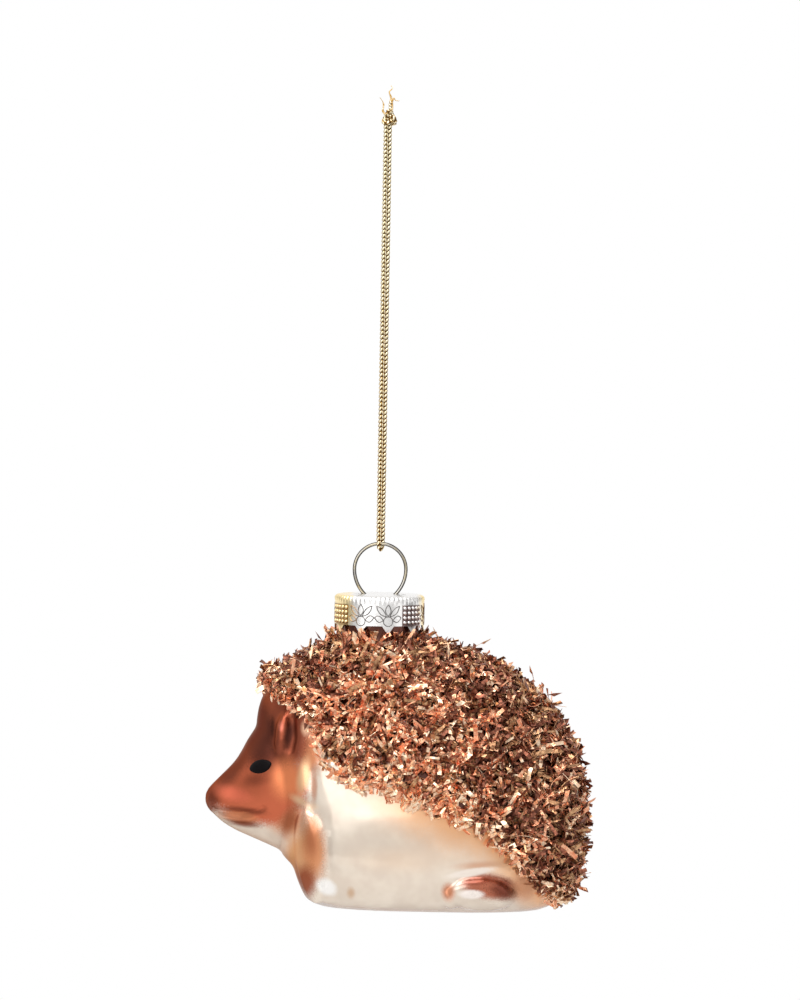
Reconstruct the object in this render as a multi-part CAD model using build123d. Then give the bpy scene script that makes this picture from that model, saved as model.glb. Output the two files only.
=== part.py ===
from build123d import *
import math
import os
import random

os.makedirs("parts", exist_ok=True)

# Glass body, measured up from its flat base and out from the neck axis. The nose points along -X.
WALL = 1.0
BODY_FRONT = 24.6
BODY_BACK = 39.8
BODY_WIDTH = 44.0
SHOULDER_HEIGHT = 53.0
NECK_D = 16.0
NECK_LENGTH = 8.75

# Each slice: share of the shoulder height, then of the front, the back and the half width,
# and its squareness, where 2 is a plain oval
BODY_SLICES = [
    (0.0, 0.48, 0.86, 0.67, 2.7),
    (0.038, 0.585, 0.925, 0.85, 2.7),
    (0.094, 0.64, 0.96, 0.937, 2.7),
    (0.19, 0.715, 0.987, 0.982, 2.6),
    (0.34, 0.83, 1.0, 1.0, 2.4),
    (0.49, 0.935, 0.985, 0.955, 2.2),
    (0.64, 1.0, 0.92, 0.855, 2.1),
    (0.755, 0.975, 0.827, 0.74, 2.0),
    (0.845, 0.85, 0.719, 0.632, 2.0),
    (0.906, 0.683, 0.578, 0.541, 2.0),
    (0.94, 0.524, 0.452, 0.473, 2.0),
    (0.962, 0.415, 0.322, 0.418, 2.0),
]
OVAL_POINTS = 16
NECK_OVERLAP = 1.0
NECK_SHARE = 0.98

# Snout, a flaring tube from the nose back into the head
SNOUT_REACH = 34.4
SNOUT_LENGTH = 22.4
SNOUT_HEIGHT = 29.8
SNOUT_WIDTH = 26.8
NOSE_HEIGHT = 20.5
NOSE_D = 6.9

# Each ring: share of the snout length behind the tip, then rise and half height, then half width
SNOUT_RINGS = [
    (0.058, 0.003, 0.091, 0.099),
    (0.152, 0.007, 0.159, 0.160),
    (0.286, 0.034, 0.245, 0.231),
    (0.397, 0.091, 0.339, 0.306),
    (0.554, 0.141, 0.440, 0.396),
    (0.777, 0.138, 0.500, 0.474),
    (1.0, 0.134, 0.487, 0.500),
]

# Moulded ears, front legs, paws, feet and toes: place along the body and up, then half sizes
# up the flank, along it and out of it, a lean and how far the middle is sunk in the flank
MOULDED = [
    (-19.0, 34.8, (4.3, 1.7, 1.5), 4.0, 0.45),
    (-13.0, 10.5, (9.6, 3.4, 1.7), -2.0, 0.75),
    (-10.4, 2.8, (2.6, 3.6, 1.7), 0.0, 0.85),
    (21.8, 3.6, (3.9, 7.0, 2.4), 4.0, 0.95),
    (15.9, 2.6, (2.3, 1.9, 2.2), 0.0, 0.9),
]

# Enamel eyes
EYE_X = -23.1
EYE_Z = 27.3
EYE_HALF = (2.3, 1.25, 0.55)
EYE_TILT = 20.0

# Tinsel coat: a bed of glue with foil clippings standing in it
COAT = 2.2
COAT_FOOT = 0.4
COAT_NECK_GAP = 0.6
BROW_CUT = -6.0
HAUNCH_CUT = 18.0
CLIP_WIDTH = 0.9
CLIP_THICKNESS = 0.35
CLIP_STANDS = 1.3
CLIP_ROOT = 1.0
CLIP_PITCH = 3.25
CLIP_MARGIN = 1.1
CLIP_LEAN = 0.35
CLIP_STRAY = 0.15
CLIP_TRIES = 9000
CLIP_SEED = 7

# Lower edge of the coat on the flank, from brow to rump: shares of the back and of the shoulder height
COAT_EDGE = [
    (-0.653, 0.820),
    (-0.437, 0.710),
    (-0.318, 0.520),
    (-0.120, 0.458),
    (0.200, 0.376),
    (0.500, 0.298),
    (0.660, 0.185),
    (0.842, 0.0),
]

# Stamped cap over the neck
CAP_SHEET = 0.35
CAP_CLEARANCE = 0.6
CAP_SKIRT = 5.9
CAP_CORNER = 0.8
POINT_COUNT = 10
POINT_WIDTH = 2.4
POINT_LENGTH = 1.75
POINT_TURN = 29.6

# Spring wire hanger, a ring that narrows into two splayed legs
WIRE_D = 0.72
RING_R = 5.16
RING_SIDE_R = 7.1
RING_STANDS = 5.0
WAIST_DEPTH = 0.9
WAIST_R = 1.3
LEG_SPLAY = 35.0
WIRE_CLEARANCE = 0.12
CAP_LIFT = 1.2

# Gold cord loop, its knot and its frayed ends
CORD_D = 0.8
CORD_DROP = 83.5
CORD_CLEARANCE = 0.1
STRAND_SIDE = 0.45
KNOT_D = 3.0
KNOT_HEIGHT = 3.4
KNOT_ROUND = 0.9
TAIL_D = 0.5
TAIL_LENGTH = 4.2
TAIL_LEANS = [(-16, 8), (3, -10), (18, 6)]
TAIL_STEP = 0.75

# Solids that stand on, or hang below, the point they are placed at
STANDING = (Align.CENTER, Align.CENTER, Align.MIN)
HANGING = (Align.CENTER, Align.CENTER, Align.MAX)

# Places that follow: the hang point under the knot is the origin
neck_r = NECK_D / 2
bore_r = neck_r - WALL
cap_r = neck_r + CAP_CLEARANCE + CAP_SHEET
neck_top = SHOULDER_HEIGHT + NECK_LENGTH
cap_top = neck_top + CAP_SHEET
ring_z = -CORD_DROP - RING_R
base_z = ring_z - RING_STANDS - cap_top
coat_hole_r = cap_r + COAT_NECK_GAP
far = BODY_FRONT + BODY_BACK + BODY_WIDTH
strand_depth = (WIRE_D + CORD_D) / 2 + CORD_CLEARANCE
bight_r = math.hypot(STRAND_SIDE, strand_depth)


# One slice of the body: an oval drawn out to the front, the back and the sides
def oval(reach, tail, half, square):
    points = []
    for i in range(OVAL_POINTS):
        turn = 2 * math.pi * (i + 0.5) / OVAL_POINTS
        along = math.copysign(abs(math.cos(turn)) ** (2 / square), math.cos(turn))
        across = math.copysign(abs(math.sin(turn)) ** (2 / square), math.sin(turn))
        points.append(Vector((tail - reach) / 2 + (tail + reach) / 2 * along, half * across))
    places = [i / OVAL_POINTS for i in range(OVAL_POINTS + 1)]
    return make_face(Edge.make_spline(points, periodic=True, parameters=places))


# The body as a stack of ovals, grown or shrunk all round
def body_form(grow):
    slices = []
    for rise, front, back, half, square in BODY_SLICES:
        reach = front * BODY_FRONT + grow
        tail = back * BODY_BACK + grow
        z = rise * SHOULDER_HEIGHT + grow * (2 * rise - 1)
        slices.append(Pos(0, 0, z) * oval(reach, tail, half * BODY_WIDTH / 2 + grow, square))
    top_r = neck_r * NECK_SHARE + grow
    slices.append(Pos(0, 0, SHOULDER_HEIGHT + grow) * oval(top_r, top_r, top_r, 2))
    return loft(slices)


# The snout with its round nose tip, grown or shrunk all round
def snout_form(grow):
    rings = []
    for back, rise, half_z, half_y in SNOUT_RINGS:
        x = -SNOUT_REACH + back * SNOUT_LENGTH
        z = NOSE_HEIGHT + rise * SNOUT_HEIGHT
        ring_plane = Plane(origin=(x, 0, z), x_dir=(0, 1, 0), z_dir=(1, 0, 0))
        rings.append(ring_plane * Ellipse(half_y * SNOUT_WIDTH + grow, half_z * SNOUT_HEIGHT + grow))
    nose_x = -SNOUT_REACH + NOSE_D / 2
    nose = Pos(nose_x, 0, NOSE_HEIGHT) * Sphere(NOSE_D / 2 + grow)
    return loft(rings) + nose


def ellipsoid(half):
    return scale(Sphere(1), by=half)


# Where the left flank of a solid lies at a given place, with the outward direction there
def flank(solid, x, z):
    return solid.shell().find_intersection_points(Axis((x, -far, z), (0, 1, 0)))[0]


def on_both_sides(left):
    return [left, mirror(left, about=Plane.XZ)]


# A smooth swelling that follows the flank
def swelling(form, x, z, half, lean, sunk):
    point, outward = flank(form, x, z)
    lean = math.radians(lean)
    middle = point - outward * sunk
    seat = Plane(origin=middle, x_dir=(math.sin(lean), 0, math.cos(lean)), z_dir=outward)
    return seat * ellipsoid(half)


# Outside of the glass with every moulded feature, cut flat at the base
def glass_outside():
    form = body_form(0) + snout_form(0)
    features = []
    for x, z, half, lean, sunk in MOULDED:
        features += on_both_sides(swelling(form, x, z, half, lean, sunk))
    neck_z = SHOULDER_HEIGHT - NECK_OVERLAP
    neck = Pos(0, 0, neck_z) * Cylinder(neck_r, NECK_LENGTH + NECK_OVERLAP, align=STANDING)
    below = Box(far, far, far, align=HANGING)
    return form + features + neck - below


def glass_inside():
    bore_z = SHOULDER_HEIGHT - WALL
    bore = Cylinder(bore_r, NECK_LENGTH + 2 * WALL, align=STANDING)
    return body_form(-WALL) + snout_form(-WALL) + Pos(0, 0, bore_z) * bore


def eye(outside):
    point, outward = flank(outside, EYE_X, EYE_Z)
    tilt = math.radians(EYE_TILT)
    seat = Plane(origin=point, x_dir=(math.cos(tilt), 0, math.sin(tilt)), z_dir=outward)
    return seat * ellipsoid(EYE_HALF) - outside


# Side view of the coat: above its flank edge and behind the brow
def coat_region():
    points = [(x * BODY_BACK, max(z * SHOULDER_HEIGHT, COAT_FOOT)) for x, z in COAT_EDGE]
    edge = Spline(*points)
    rim = Polyline(points[-1], (far, COAT_FOOT), (far, far), (points[0][0], far), points[0])
    return Plane.XZ * make_face([edge, rim]), Plane.XZ * edge


def coat_bed(outside, region):
    hole = Cylinder(coat_hole_r, 2 * far)
    slab = extrude(region, amount=far, both=True)
    return (body_form(COAT) & slab) - outside - hole


# Roots of the clippings: scattered over the coat, none closer than the pitch
def clip_roots(region, edge):
    skin = body_form(COAT).faces().sort_by(SortBy.AREA)[-1]
    draw = random.Random(CLIP_SEED)
    roots = []
    taken = []
    for _ in range(CLIP_TRIES):
        u, v = draw.random(), draw.random()
        root = skin.position_at(u, v)
        place = (root.X, root.Y, root.Z)
        side_on = Vector(root.X, 0, root.Z)
        if root.Z < COAT_FOOT + 2 * CLIP_MARGIN:
            continue
        if math.hypot(root.X, root.Y) < coat_hole_r + CLIP_MARGIN:
            continue
        if min(abs(root.X - BROW_CUT), abs(root.X - HAUNCH_CUT), abs(root.Y)) < CLIP_MARGIN:
            continue
        if any(math.dist(place, other) < CLIP_PITCH for other in taken):
            continue
        if not region.is_inside(side_on) or edge.distance_to(Vertex(side_on)) < CLIP_MARGIN:
            continue
        taken.append(place)
        roots.append((root, skin.normal_at(u, v)))
    return roots


# One flat foil strip, leaning away from the neck
def clipping(root, outward, draw):
    away = root - Vector(0, 0, neck_top)
    lean = (away - outward * away.dot(outward)).normalized() * CLIP_LEAN
    stray = Vector(*(draw.uniform(-CLIP_STRAY, CLIP_STRAY) for _ in range(3)))
    along = (outward + lean + stray).normalized()
    across = Vector(*(draw.uniform(-1, 1) for _ in range(3)))
    seat = Plane(origin=root - along * CLIP_ROOT, x_dir=across, z_dir=along)
    size = (CLIP_WIDTH, CLIP_THICKNESS, CLIP_ROOT + CLIP_STANDS)
    return seat * Box(*size, align=STANDING)


# The coat in five patches, each a bed with its own clippings
def coat_patches(outside):
    region, edge = coat_region()
    bed = coat_bed(outside, region)
    draw = random.Random(CLIP_SEED + 1)
    roots = clip_roots(region, edge)
    clips = [(root, clipping(root, outward, draw)) for root, outward in roots]
    cuts = {
        "tinsel_brow": (-far, BROW_CUT, -far, far),
        "tinsel_left_side": (BROW_CUT, HAUNCH_CUT, -far, 0),
        "tinsel_right_side": (BROW_CUT, HAUNCH_CUT, 0, far),
        "tinsel_left_haunch": (HAUNCH_CUT, far, -far, 0),
        "tinsel_right_haunch": (HAUNCH_CUT, far, 0, far),
    }
    patches = {}
    for name, (x0, x1, y0, y1) in cuts.items():
        window = Pos((x0 + x1) / 2, (y0 + y1) / 2, 0) * Box(x1 - x0, y1 - y0, 2 * far)
        own = [clip for root, clip in clips if x0 < root.X < x1 and y0 < root.Y < y1]
        patches[name] = (bed & window).fuse(*own)
        print(name, len(own), "clippings")
    return patches


# Half width of the ring's wire axis at a depth below the ring's centre
def ring_half(depth):
    return RING_R - RING_SIDE_R + math.sqrt(RING_SIDE_R**2 - depth**2)


# Wire axis in the ring's plane: top half, side arcs, waist bends and legs
def hanger_path():
    waist_z = -RING_STANDS - WAIST_DEPTH
    turn = math.asin(-waist_z / RING_SIDE_R)
    splay = math.radians(LEG_SPLAY)
    bend_x = ring_half(-waist_z) + WAIST_R * math.cos(turn)
    bend_z = waist_z - WAIST_R * math.sin(turn)
    leg_x = bend_x - WAIST_R * math.cos(splay)
    leg_z = bend_z - WAIST_R * math.sin(splay)
    end_x = bore_r - WIRE_D / 2 - WIRE_CLEARANCE
    end_z = leg_z - (end_x - leg_x) / math.tan(splay)
    sweep_deg = math.degrees(turn)
    right = [
        CenterArc((RING_R - RING_SIDE_R, 0), RING_SIDE_R, 0, -sweep_deg),
        CenterArc((bend_x, bend_z), WAIST_R, 180 - sweep_deg, sweep_deg + LEG_SPLAY),
        Line((leg_x, leg_z), (end_x, end_z)),
    ]
    left = [mirror(piece, about=Plane.YZ) for piece in right]
    top = CenterArc((0, 0), RING_R, 0, 180)
    path = Plane.XZ * Wire([piece.edge() for piece in right + left + [top]])
    start = Plane(origin=(end_x, 0, end_z), z_dir=(math.sin(splay), 0, -math.cos(splay)))
    return path, start


def wire_hanger():
    path, start = hanger_path()
    return Pos(0, 0, ring_z) * sweep(start * Circle(WIRE_D / 2), path=path)


# Cup of thin sheet with crown points below its skirt and a slot for each wire
def cap():
    cup = Pos(0, 0, cap_top) * Cylinder(cap_r, CAP_SKIRT, align=HANGING)
    cup = fillet(cup.faces().sort_by(Axis.Z)[-1].edges(), CAP_CORNER)
    skirt_z = cap_top - CAP_SKIRT
    tube = Pos(0, 0, skirt_z) * Cylinder(cap_r, 2 * POINT_LENGTH)
    outline = Polyline(
        (-POINT_WIDTH / 2, POINT_LENGTH), (-POINT_WIDTH / 2, 0), (0, -POINT_LENGTH),
        (POINT_WIDTH / 2, 0), (POINT_WIDTH / 2, POINT_LENGTH), close=True,
    )
    blade_plane = Plane(origin=(0, 0, skirt_z), x_dir=(0, 1, 0), z_dir=(1, 0, 0))
    blade = extrude(blade_plane * make_face(outline), amount=2 * cap_r)
    step = 360 / POINT_COUNT
    points = [tube & Rot(0, 0, POINT_TURN + i * step) * blade for i in range(POINT_COUNT)]
    hollow = Pos(0, 0, neck_top) * Cylinder(cap_r - CAP_SHEET, 2 * CAP_SKIRT, align=HANGING)
    inner = ring_half(RING_STANDS + CAP_SHEET) - WIRE_D
    outer = ring_half(RING_STANDS - CAP_LIFT) + WIRE_D
    slot_box = Box(outer - inner, WIRE_D + 2 * WIRE_CLEARANCE, 4 * CAP_SHEET)
    slot = Pos((inner + outer) / 2, 0, neck_top) * slot_box
    return cup + points - hollow - slot - mirror(slot, about=Plane.YZ)


# Cord axis: down one strand, round the ring's wire and up the other
def cord_path():
    low = -CORD_DROP
    left = (-STRAND_SIDE, -strand_depth)
    right = (STRAND_SIDE, strand_depth)
    return Wire([
        Line((*left, 0), (*left, low)).edge(),
        ThreePointArc((*left, low), (0, 0, low - bight_r), (*right, low)).edge(),
        Line((*right, low), (*right, 0)).edge(),
    ])


def hanging_cord():
    path = cord_path()
    tube = sweep(Plane(path @ 0, z_dir=path % 0) * Circle(CORD_D / 2), path=path)
    print("cord length", round(path.length, 2), "bight radius", round(bight_r, 2))
    print("cord volume share", round(tube.volume / (path.length * math.pi * CORD_D**2 / 4), 4))
    return tube


def cord_knot():
    barrel = Cylinder(KNOT_D / 2, KNOT_HEIGHT, align=STANDING)
    return fillet(barrel.faces().sort_by(Axis.Z)[-1].edges(), KNOT_ROUND)


def cord_tails():
    below = Pos(0, 0, KNOT_HEIGHT) * Box(far, far, far, align=HANGING)
    tails = []
    for i, (side, depth) in enumerate(TAIL_LEANS):
        start = Pos((i - 1) * TAIL_STEP, 0, KNOT_HEIGHT) * Rot(depth, side, 0)
        tails.append(start * Cylinder(TAIL_D / 2, 2 * TAIL_LENGTH) - below)
    return Compound(children=[tail.solid() for tail in tails])


def write(name, shape):
    export_step(shape, f"parts/{name}.step")


figure = Pos(0, 0, base_z)
glass = glass_outside()
left_eye, right_eye = on_both_sides(eye(glass))
write("glass_body", figure * (glass - glass_inside()))
write("eye_left", figure * left_eye)
write("eye_right", figure * right_eye)
for patch_name, patch in coat_patches(glass).items():
    write(patch_name, figure * patch)
write("cap", figure * cap())
write("wire_hanger", wire_hanger())
write("hanging_cord", hanging_cord())
write("cord_knot", cord_knot())
write("cord_tails", cord_tails())
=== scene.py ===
import bisect
import math
import random
from itertools import accumulate

import bmesh
import bpy
from mathutils import Matrix, Quaternion, Vector, noise
from mathutils.bvhtree import BVHTree


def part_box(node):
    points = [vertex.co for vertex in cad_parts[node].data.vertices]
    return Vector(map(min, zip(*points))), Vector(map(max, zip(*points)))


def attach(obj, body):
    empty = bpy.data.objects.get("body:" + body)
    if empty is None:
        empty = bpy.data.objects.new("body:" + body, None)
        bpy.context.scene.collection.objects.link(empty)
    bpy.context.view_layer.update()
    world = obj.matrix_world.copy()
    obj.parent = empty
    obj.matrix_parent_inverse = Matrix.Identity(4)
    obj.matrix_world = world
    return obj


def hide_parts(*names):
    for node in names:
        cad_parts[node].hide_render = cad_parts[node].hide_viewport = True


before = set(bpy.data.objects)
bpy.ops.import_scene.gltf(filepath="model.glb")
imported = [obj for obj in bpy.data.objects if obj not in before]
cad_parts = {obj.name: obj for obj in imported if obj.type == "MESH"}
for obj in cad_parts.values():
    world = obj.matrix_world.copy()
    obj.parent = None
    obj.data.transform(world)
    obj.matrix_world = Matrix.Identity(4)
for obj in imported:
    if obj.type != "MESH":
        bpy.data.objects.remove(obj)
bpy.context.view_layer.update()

scene = bpy.context.scene
scene.view_settings.view_transform = "Standard"
mm = 0.001  # everything is made in millimetres and scaled once, when a piece is kept
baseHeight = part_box("glass_body")[0].z / mm  # flat base of the glass, seen from the hang point

# camera

cameraSet = {
    "target": (3.73, 0.0, -74.7),
    "distance": 1000.0,
    "viewHeight": 200.4,
    "sensor": 36.0,
    "elevation": 2.2,
    "roll": 1.0,
}


def makeCamera(s):
    data = bpy.data.cameras.new("camera")
    data.sensor_fit = "VERTICAL"
    data.sensor_height = s["sensor"]
    data.lens = s["sensor"] * s["distance"] / s["viewHeight"]
    camera = bpy.data.objects.new("camera", data)
    scene.collection.objects.link(camera)
    rise = math.radians(s["elevation"])
    back = Vector((0, -math.cos(rise), math.sin(rise)))
    camera.location = (Vector(s["target"]) + back * s["distance"]) * mm
    camera.rotation_mode = "QUATERNION"
    level = (-back).to_track_quat("-Z", "Y")
    camera.rotation_quaternion = level @ Quaternion((0, 0, 1), math.radians(s["roll"]))
    scene.camera = camera
    print("camera set")


makeCamera(cameraSet)


# shader sockets as numbers


class Wire:
    def __init__(self, finish, socket):
        self.finish = finish
        self.socket = socket

    def math(self, operation, first, second=0.0):
        return self.finish.node("ShaderNodeMath", {"operation": operation}, {0: first, 1: second})

    def __add__(self, other):
        return self.math("ADD", self, other)

    __radd__ = __add__

    def __sub__(self, other):
        return self.math("SUBTRACT", self, other)

    def __rsub__(self, other):
        return self.math("SUBTRACT", other, self)

    def __mul__(self, other):
        return self.math("MULTIPLY", self, other)

    __rmul__ = __mul__

    def __truediv__(self, other):
        return self.math("DIVIDE", self, other)

    def __rtruediv__(self, other):
        return self.math("DIVIDE", other, self)

    def __abs__(self):
        return self.math("ABSOLUTE", self)


# a material, or the world, and its nodes


class Finish:
    def __init__(self, name, constants=None, world=False):
        self.owner = bpy.data.worlds.new(name) if world else bpy.data.materials.new(name)
        self.owner.use_nodes = True
        self.tree = self.owner.node_tree
        self.shader = self.tree.nodes["Background" if world else "Principled BSDF"]
        for socket, value in (constants or {}).items():
            self.shader.inputs[socket].default_value = value

    def node(self, kind, settings=None, sockets=None, output=0):
        made = self.tree.nodes.new(kind)
        for key, value in (settings or {}).items():
            if key == "stops":
                setStops(made.color_ramp, value)
            else:
                setattr(made, key, value)
        for key, value in (sockets or {}).items():
            self.feed(made.inputs[key], value)
        return Wire(self, made.outputs[output])

    def feed(self, socket, value):
        if isinstance(value, Wire):
            self.tree.links.new(value.socket, socket)
        else:
            socket.default_value = value

    def set(self, socket, value):
        self.feed(self.shader.inputs[socket], value)

    def place(self, rise=0.0):  # millimetres, counted from a height
        coords = self.node("ShaderNodeTexCoord", output="Object")
        return self.node("ShaderNodeMapping", {"vector_type": "POINT"},
                         {"Vector": coords, "Location": (0, 0, -rise), "Scale": (1 / mm,) * 3})

    def axis(self, vector, letter):
        return self.node("ShaderNodeSeparateXYZ", None, {0: vector}, letter)

    def mix(self, factor, under, over):
        return self.node("ShaderNodeMix", {"data_type": "RGBA"}, {0: factor, 6: under, 7: over}, 2)

    def ease(self, value, low, high):
        return self.node("ShaderNodeMapRange", {"interpolation_type": "SMOOTHSTEP"},
                         {"Value": value, "From Min": low, "From Max": high})

    def grain(self, vector, scale, detail=2.0, rough=0.5):
        return self.node("ShaderNodeTexNoise", None,
                         {"Vector": vector, "Scale": scale, "Detail": detail, "Roughness": rough})

    def shade(self):  # painted shade: 1 on raised work, 0 in the recesses
        return self.node("ShaderNodeAttribute", {"attribute_name": "shade"}, output="Fac")

    def bump(self, height, strength, distance):
        return self.node("ShaderNodeBump", None,
                         {"Height": height, "Strength": strength, "Distance": distance * mm})


def setStops(ramp, stops):
    while len(ramp.elements) < len(stops):
        ramp.elements.new(0.5)
    for element, (position, colour) in zip(ramp.elements, stops):
        element.position = position
        element.color = colour


def tint(red, green, blue):
    def linear(part):
        part = part / 255
        return part / 12.92 if part <= 0.04045 else ((part + 0.055) / 1.055) ** 2.4
    return (linear(red), linear(green), linear(blue), 1.0)


def grey(level):
    return (level, level, level, 1.0)


# keeping and copying meshes


def keepPiece(name, bm, body, finish, nodes=(), rise=0.0, sharp=None, smooth=True):
    bm.transform(Matrix.Scale(mm, 4) @ Matrix.Translation((0, 0, rise)))
    mesh = bpy.data.meshes.new(name)
    bm.to_mesh(mesh)
    bm.free()
    if smooth:
        mesh.shade_smooth()
    if sharp:
        mesh.set_sharp_from_angle(angle=math.radians(sharp))
    mesh.materials.append(finish.owner)
    piece = bpy.data.objects.new(name, mesh)
    scene.collection.objects.link(piece)
    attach(piece, body)
    if nodes:
        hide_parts(*nodes)
    print(name, len(mesh.polygons), "faces")
    return piece


def template(name, bm):
    mesh = bpy.data.meshes.new(name)
    bm.to_mesh(mesh)
    bm.free()
    return mesh


def stamp(bm, shape, turn):  # a turned copy of a small shape
    one = bmesh.new()
    one.from_mesh(shape)
    one.transform(turn)
    copy = template("copy", one)
    bm.from_mesh(copy)
    bpy.data.meshes.remove(copy)


def axes(along, across, place, size=(1, 1, 1)):  # x along, y across, z out
    along = along.normalized()
    out = along.cross(across).normalized()
    across = out.cross(along)
    turn = Matrix((along, across, out)).transposed().to_4x4()
    return Matrix.Translation(place) @ turn @ Matrix.Diagonal((*size, 1))


def modified(bm, name, settings):  # the mesh after modifiers, as a new bmesh
    mesh = template(name, bm)
    holder = bpy.data.objects.new(name, mesh)
    scene.collection.objects.link(holder)
    for kind, values in settings:
        modifier = holder.modifiers.new(kind, kind)
        for key, value in values.items():
            setattr(modifier, key, value)
    graph = bpy.context.evaluated_depsgraph_get()
    done = bpy.data.meshes.new_from_object(holder.evaluated_get(graph))
    result = bmesh.new()
    result.from_mesh(done)
    bpy.data.objects.remove(holder)
    bpy.data.meshes.remove(mesh)
    bpy.data.meshes.remove(done)
    return result


# cord: a gold chainette, doubled through the ring and knotted at the top

cordSet = {
    "diameter": 0.8,
    "route": [
        (-0.36, -0.25, 0.3), (-0.39, -0.86, -9.0), (-0.39, -0.86, -78.7),
        (-0.39, -0.86, -84.6), (0.39, 0.86, -84.6),
        (0.39, 0.86, -78.7), (0.39, 0.86, -9.0), (0.36, 0.25, 0.3),
    ],
    "core": 0.3,
    "stitch": 0.84,  # pitch of the chevrons
    "columns": 4,
    "lobe": (0.52, 0.24, 0.2),  # half length, width and height of one stitch
    "stand": 0.3,
    "slant": 38.0,
    "side": (1.0, 0.35, 0.0),  # where the first column starts
}


def splineLine(points, resolution=24):
    curve = bpy.data.curves.new("line", "CURVE")
    curve.dimensions = "3D"
    curve.resolution_u = resolution
    spline = curve.splines.new("NURBS")
    spline.points.add(len(points) - 1)
    for slot, point in zip(spline.points, points):
        slot.co = (*point, 1)
    spline.order_u = 3
    spline.use_endpoint_u = True
    holder = bpy.data.objects.new("line", curve)
    line = bpy.data.meshes.new_from_object(holder)
    found = [vertex.co.copy() for vertex in line.vertices]
    bpy.data.objects.remove(holder)
    bpy.data.curves.remove(curve)
    bpy.data.meshes.remove(line)
    return found


def smoothStroke(points):  # the same for a flat stroke
    return [(place.x, place.y) for place in splineLine([(*point, 0) for point in points], 8)]


def lineLength(points):
    return sum((b - a).length for a, b in zip(points, points[1:]))


def stations(points, step):  # evenly spaced places along a line, each with its direction
    reach = [0.0]
    for a, b in zip(points, points[1:]):
        reach.append(reach[-1] + (b - a).length)
    count = max(2, round(reach[-1] / step))
    for i in range(count):
        at = (i + 0.5) * reach[-1] / count
        k = min(max(bisect.bisect(reach, at) - 1, 0), len(points) - 2)
        part = (at - reach[k]) / max(reach[k + 1] - reach[k], 1e-9)
        ahead, behind = points[min(k + 2, len(points) - 1)], points[max(k - 1, 0)]
        yield points[k].lerp(points[k + 1], part), (ahead - behind).normalized()


def shadeRaised(bm, low=0.1):  # painted shade where a small shape meets its ground, lighter towards its crest
    layer = bm.verts.layers.float.new("shade")
    for vertex in bm.verts:
        vertex[layer] = low + (1 - low) * max(0.0, vertex.co.z) * (1 - 0.5 * abs(vertex.co.x))


def lobeShape():
    bm = bmesh.new()
    bmesh.ops.create_uvsphere(bm, u_segments=6, v_segments=5, radius=1.0)
    bmesh.ops.rotate(bm, verts=bm.verts, matrix=Matrix.Rotation(math.radians(90), 3, "Y"))
    shadeRaised(bm)
    return template("lobe", bm)


def chainAlong(bm, points, s, lobe, grow=1.0):
    side = Vector(s["side"]).normalized()
    slant = math.radians(s["slant"])
    size = [part * grow for part in s["lobe"]]
    for place, along in stations(points, s["stitch"] * grow):
        side = (side - along * side.dot(along)).normalized()
        front = along.cross(side)
        for column in range(s["columns"]):
            turn = (column + 0.5) * 2 * math.pi / s["columns"]
            out = side * math.cos(turn) + front * math.sin(turn)
            lean = slant if column % 2 else -slant
            axis = along * math.cos(lean) + along.cross(out) * math.sin(lean)
            stamp(bm, lobe, axes(axis, out.cross(axis), place + out * s["stand"] * grow, size))


def ringEdges(verts):
    return list({edge for vertex in verts for edge in vertex.link_edges})


def bridgeRings(bm, rings):
    for low, high in zip(rings, rings[1:]):
        bmesh.ops.bridge_loops(bm, edges=low + high)


def tubeAlong(bm, points, radius, sides=8, taper=None, shade=0.0):
    rings = []
    layer = bm.verts.layers.float.get("shade") or bm.verts.layers.float.new("shade")
    side = Vector((0.9, 0.3, 0.2))  # no tube starts this way
    for i, place in enumerate(points):
        along = (points[min(i + 1, len(points) - 1)] - points[max(i - 1, 0)]).normalized()
        side = (side - along * side.dot(along)).normalized()
        width = radius * (1 if taper is None else taper(i / (len(points) - 1)))
        ends = i in (0, len(points) - 1)
        made = bmesh.ops.create_circle(bm, cap_ends=ends, segments=sides, radius=width,
                                       matrix=axes(side, along.cross(side), place))["verts"]
        for vertex in made:
            vertex[layer] = shade
        rings.append(ringEdges(made))
    bridgeRings(bm, rings)


def cordFinish():
    look = Finish("goldChainette", {"Metallic": 0.85, "Specular IOR Level": 0.6})
    place = look.place()
    speck = look.grain(place, 1.6, 3.0, 0.7) - 0.5
    shadeLevel = look.shade()
    high = look.axis(place, "Z")
    faded = look.ease(high, -60.0, -8.0) * look.ease(high, 0.6, -0.2)  # paler towards the top
    # dark gold in the hollows and light gold on the stitches: painted shade
    dark = look.mix(faded, tint(104, 74, 30), tint(118, 98, 62))
    light = look.mix(faded, tint(224, 178, 94), tint(240, 216, 158))
    gold = look.mix(look.ease(shadeLevel + speck * 0.4, 0.1, 0.45), dark, light)
    # pale crests: painted highlight
    crestHighlight = look.ease(shadeLevel + speck, 0.3, 0.62)
    look.set("Base Color", look.mix(crestHighlight, gold, tint(255, 244, 212)))
    look.set("Roughness", 0.42 - crestHighlight * 0.2)
    return look


def makeCord(s, look):
    line = splineLine(s["route"])
    bm = bmesh.new()
    # the core keeps shade 0, so it shows as painted shade between the stitches
    tubeAlong(bm, line, s["core"])
    lobe = lobeShape()
    chainAlong(bm, line, s, lobe)
    cord = keepPiece("chainetteLoop", bm, "cord", look, ["hanging_cord"])
    print("cord length", round(lineLength(line), 1), "mm")
    return cord, lobe, line


goldLook = cordFinish()
cordLoop, lobeMesh, cordLine = makeCord(cordSet, goldLook)

# knot: an overhand knot of the doubled cord with frayed ends

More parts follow.
